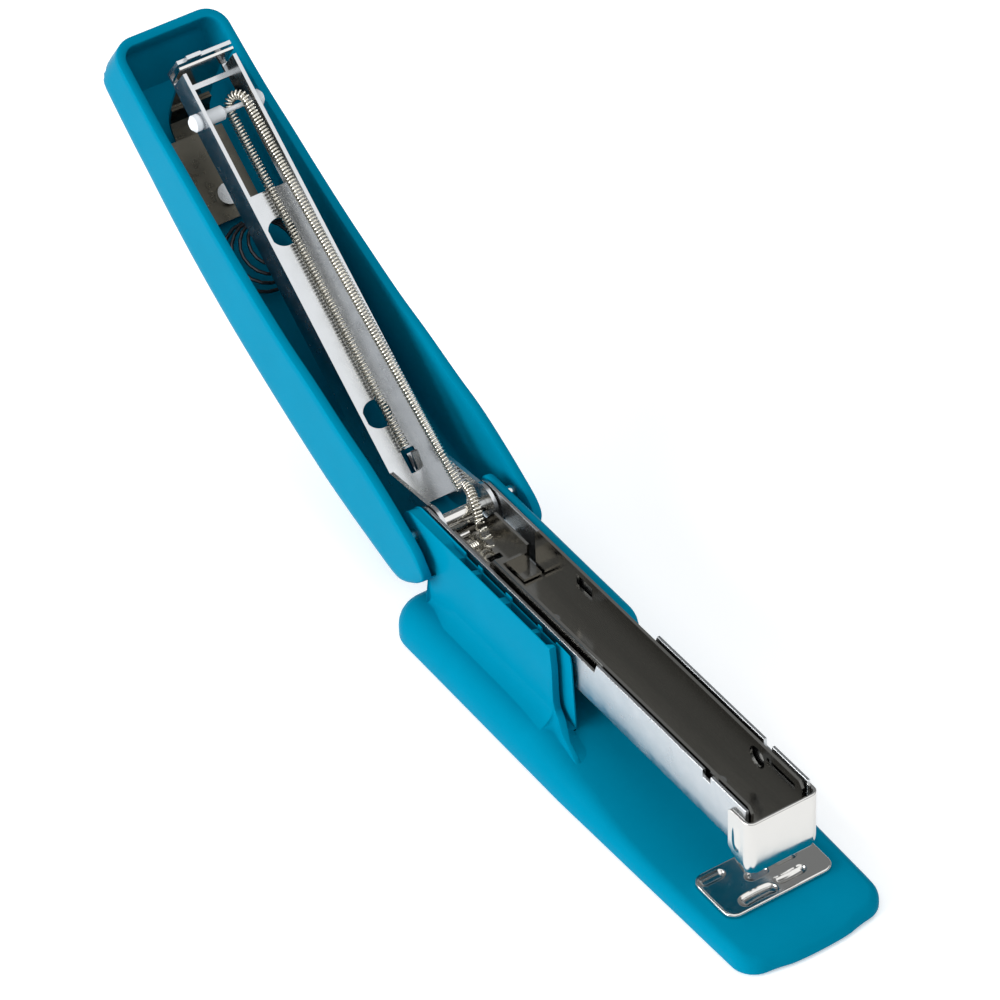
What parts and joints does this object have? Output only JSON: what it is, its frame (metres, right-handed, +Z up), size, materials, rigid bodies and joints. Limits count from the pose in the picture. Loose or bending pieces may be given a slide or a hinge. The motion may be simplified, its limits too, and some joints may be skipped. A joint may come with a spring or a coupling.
{
  "type": "stapler",
  "caption": "Desk stapler swung open for loading: moulded base and cover, sheet metal magazine with pusher and nose plate, sprung driver and turning anvil.",
  "frame": {"origin": "centre of the base underside, on the table", "axes": "+X from the hinge to the nose, +Z up, +Y to the far side; XZ is the middle plane of the base"},
  "size_m": [0.2261, 0.0352, 0.081],
  "materials": {
    "teal_plastic": "satin moulded ABS",
    "zinc_sheet": "zinc plated, satin",
    "nickel": "nickel plated, bright",
    "dark_steel": "oiled, mirror smooth",
    "spring_steel": "drawn wire",
    "black_spring": "blackened wire",
    "nylon": "natural nylon",
    "pad_rubber": "matt"
  },
  "bodies": {
    "base": {"base_shell": "teal_plastic", "base_foot_pad": "pad_rubber", "hinge_pin": "nickel", "pin_washers": "zinc_sheet", "magazine_lift_spring": "spring_steel", "lift_spring_rivet": "zinc_sheet"},
    "anvil": {"anvil_plate": "nickel", "anvil_post": "zinc_sheet", "anvil_spring": "spring_steel"},
    "magazine": {"staple_channel": "zinc_sheet", "staple_rail": "dark_steel", "rail_rivets": "zinc_sheet", "nose_plate": "nickel"},
    "pusher": {"pusher": "dark_steel", "pusher_anchor_rod": "nickel", "pusher_anchor_coil": "spring_steel", "spring_hook": "spring_steel"},
    "liner": {"liner_channel": "zinc_sheet", "spring_left_leg": "spring_steel", "spring_loop": "spring_steel", "spring_right_leg": "spring_steel", "return_spring": "black_spring"},
    "roller": {"spring_roller": "nylon"},
    "handle": {"cover_shell": "teal_plastic", "driver_leaf": "dark_steel", "driver_blade": "nickel", "driver_rivet": "zinc_sheet"}
  },
  "joints": [
    {"name": "anvil_turn", "type": "hinge", "parent": "base", "child": "anvil", "pos_m": [0.0412, 0, 0.0046], "axis": [0, 0, 1], "range_deg": [0, 180]},
    {"name": "magazine_press", "type": "hinge", "parent": "base", "child": "magazine", "pos_m": [-0.0583, 0, 0.0215], "axis": [0, 1, 0], "range_deg": [0, 4.2], "stiffness_Nm_per_rad": 0.5, "springref_deg": -8.59, "deforming": ["magazine_lift_spring"]},
    {"name": "pusher_slide", "type": "slide", "parent": "magazine", "child": "pusher", "axis": [1, 0, 0], "range_m": [0, 0.075], "stiffness_N_per_m": 8, "springref_m": -0.03},
    {"name": "cover_swing", "type": "hinge", "parent": "magazine", "child": "liner", "pos_m": [-0.0583, 0, 0.0215], "axis": [0, 1, 0], "range_deg": [0, 142.64], "deforming": ["spring_right_leg"]},
    {"name": "roller_spin", "type": "hinge", "parent": "liner", "child": "roller", "pos_m": [-0.13915, 0, 0.07001], "axis": [0, 1, 0], "continuous": true},
    {"name": "handle_press", "type": "hinge", "parent": "liner", "child": "handle", "pos_m": [-0.0583, 0, 0.0215], "axis": [0, 1, 0], "range_deg": [0, 8.1], "stiffness_Nm_per_rad": 0.8, "springref_deg": -11.46, "deforming": ["return_spring"]}
  ]
}
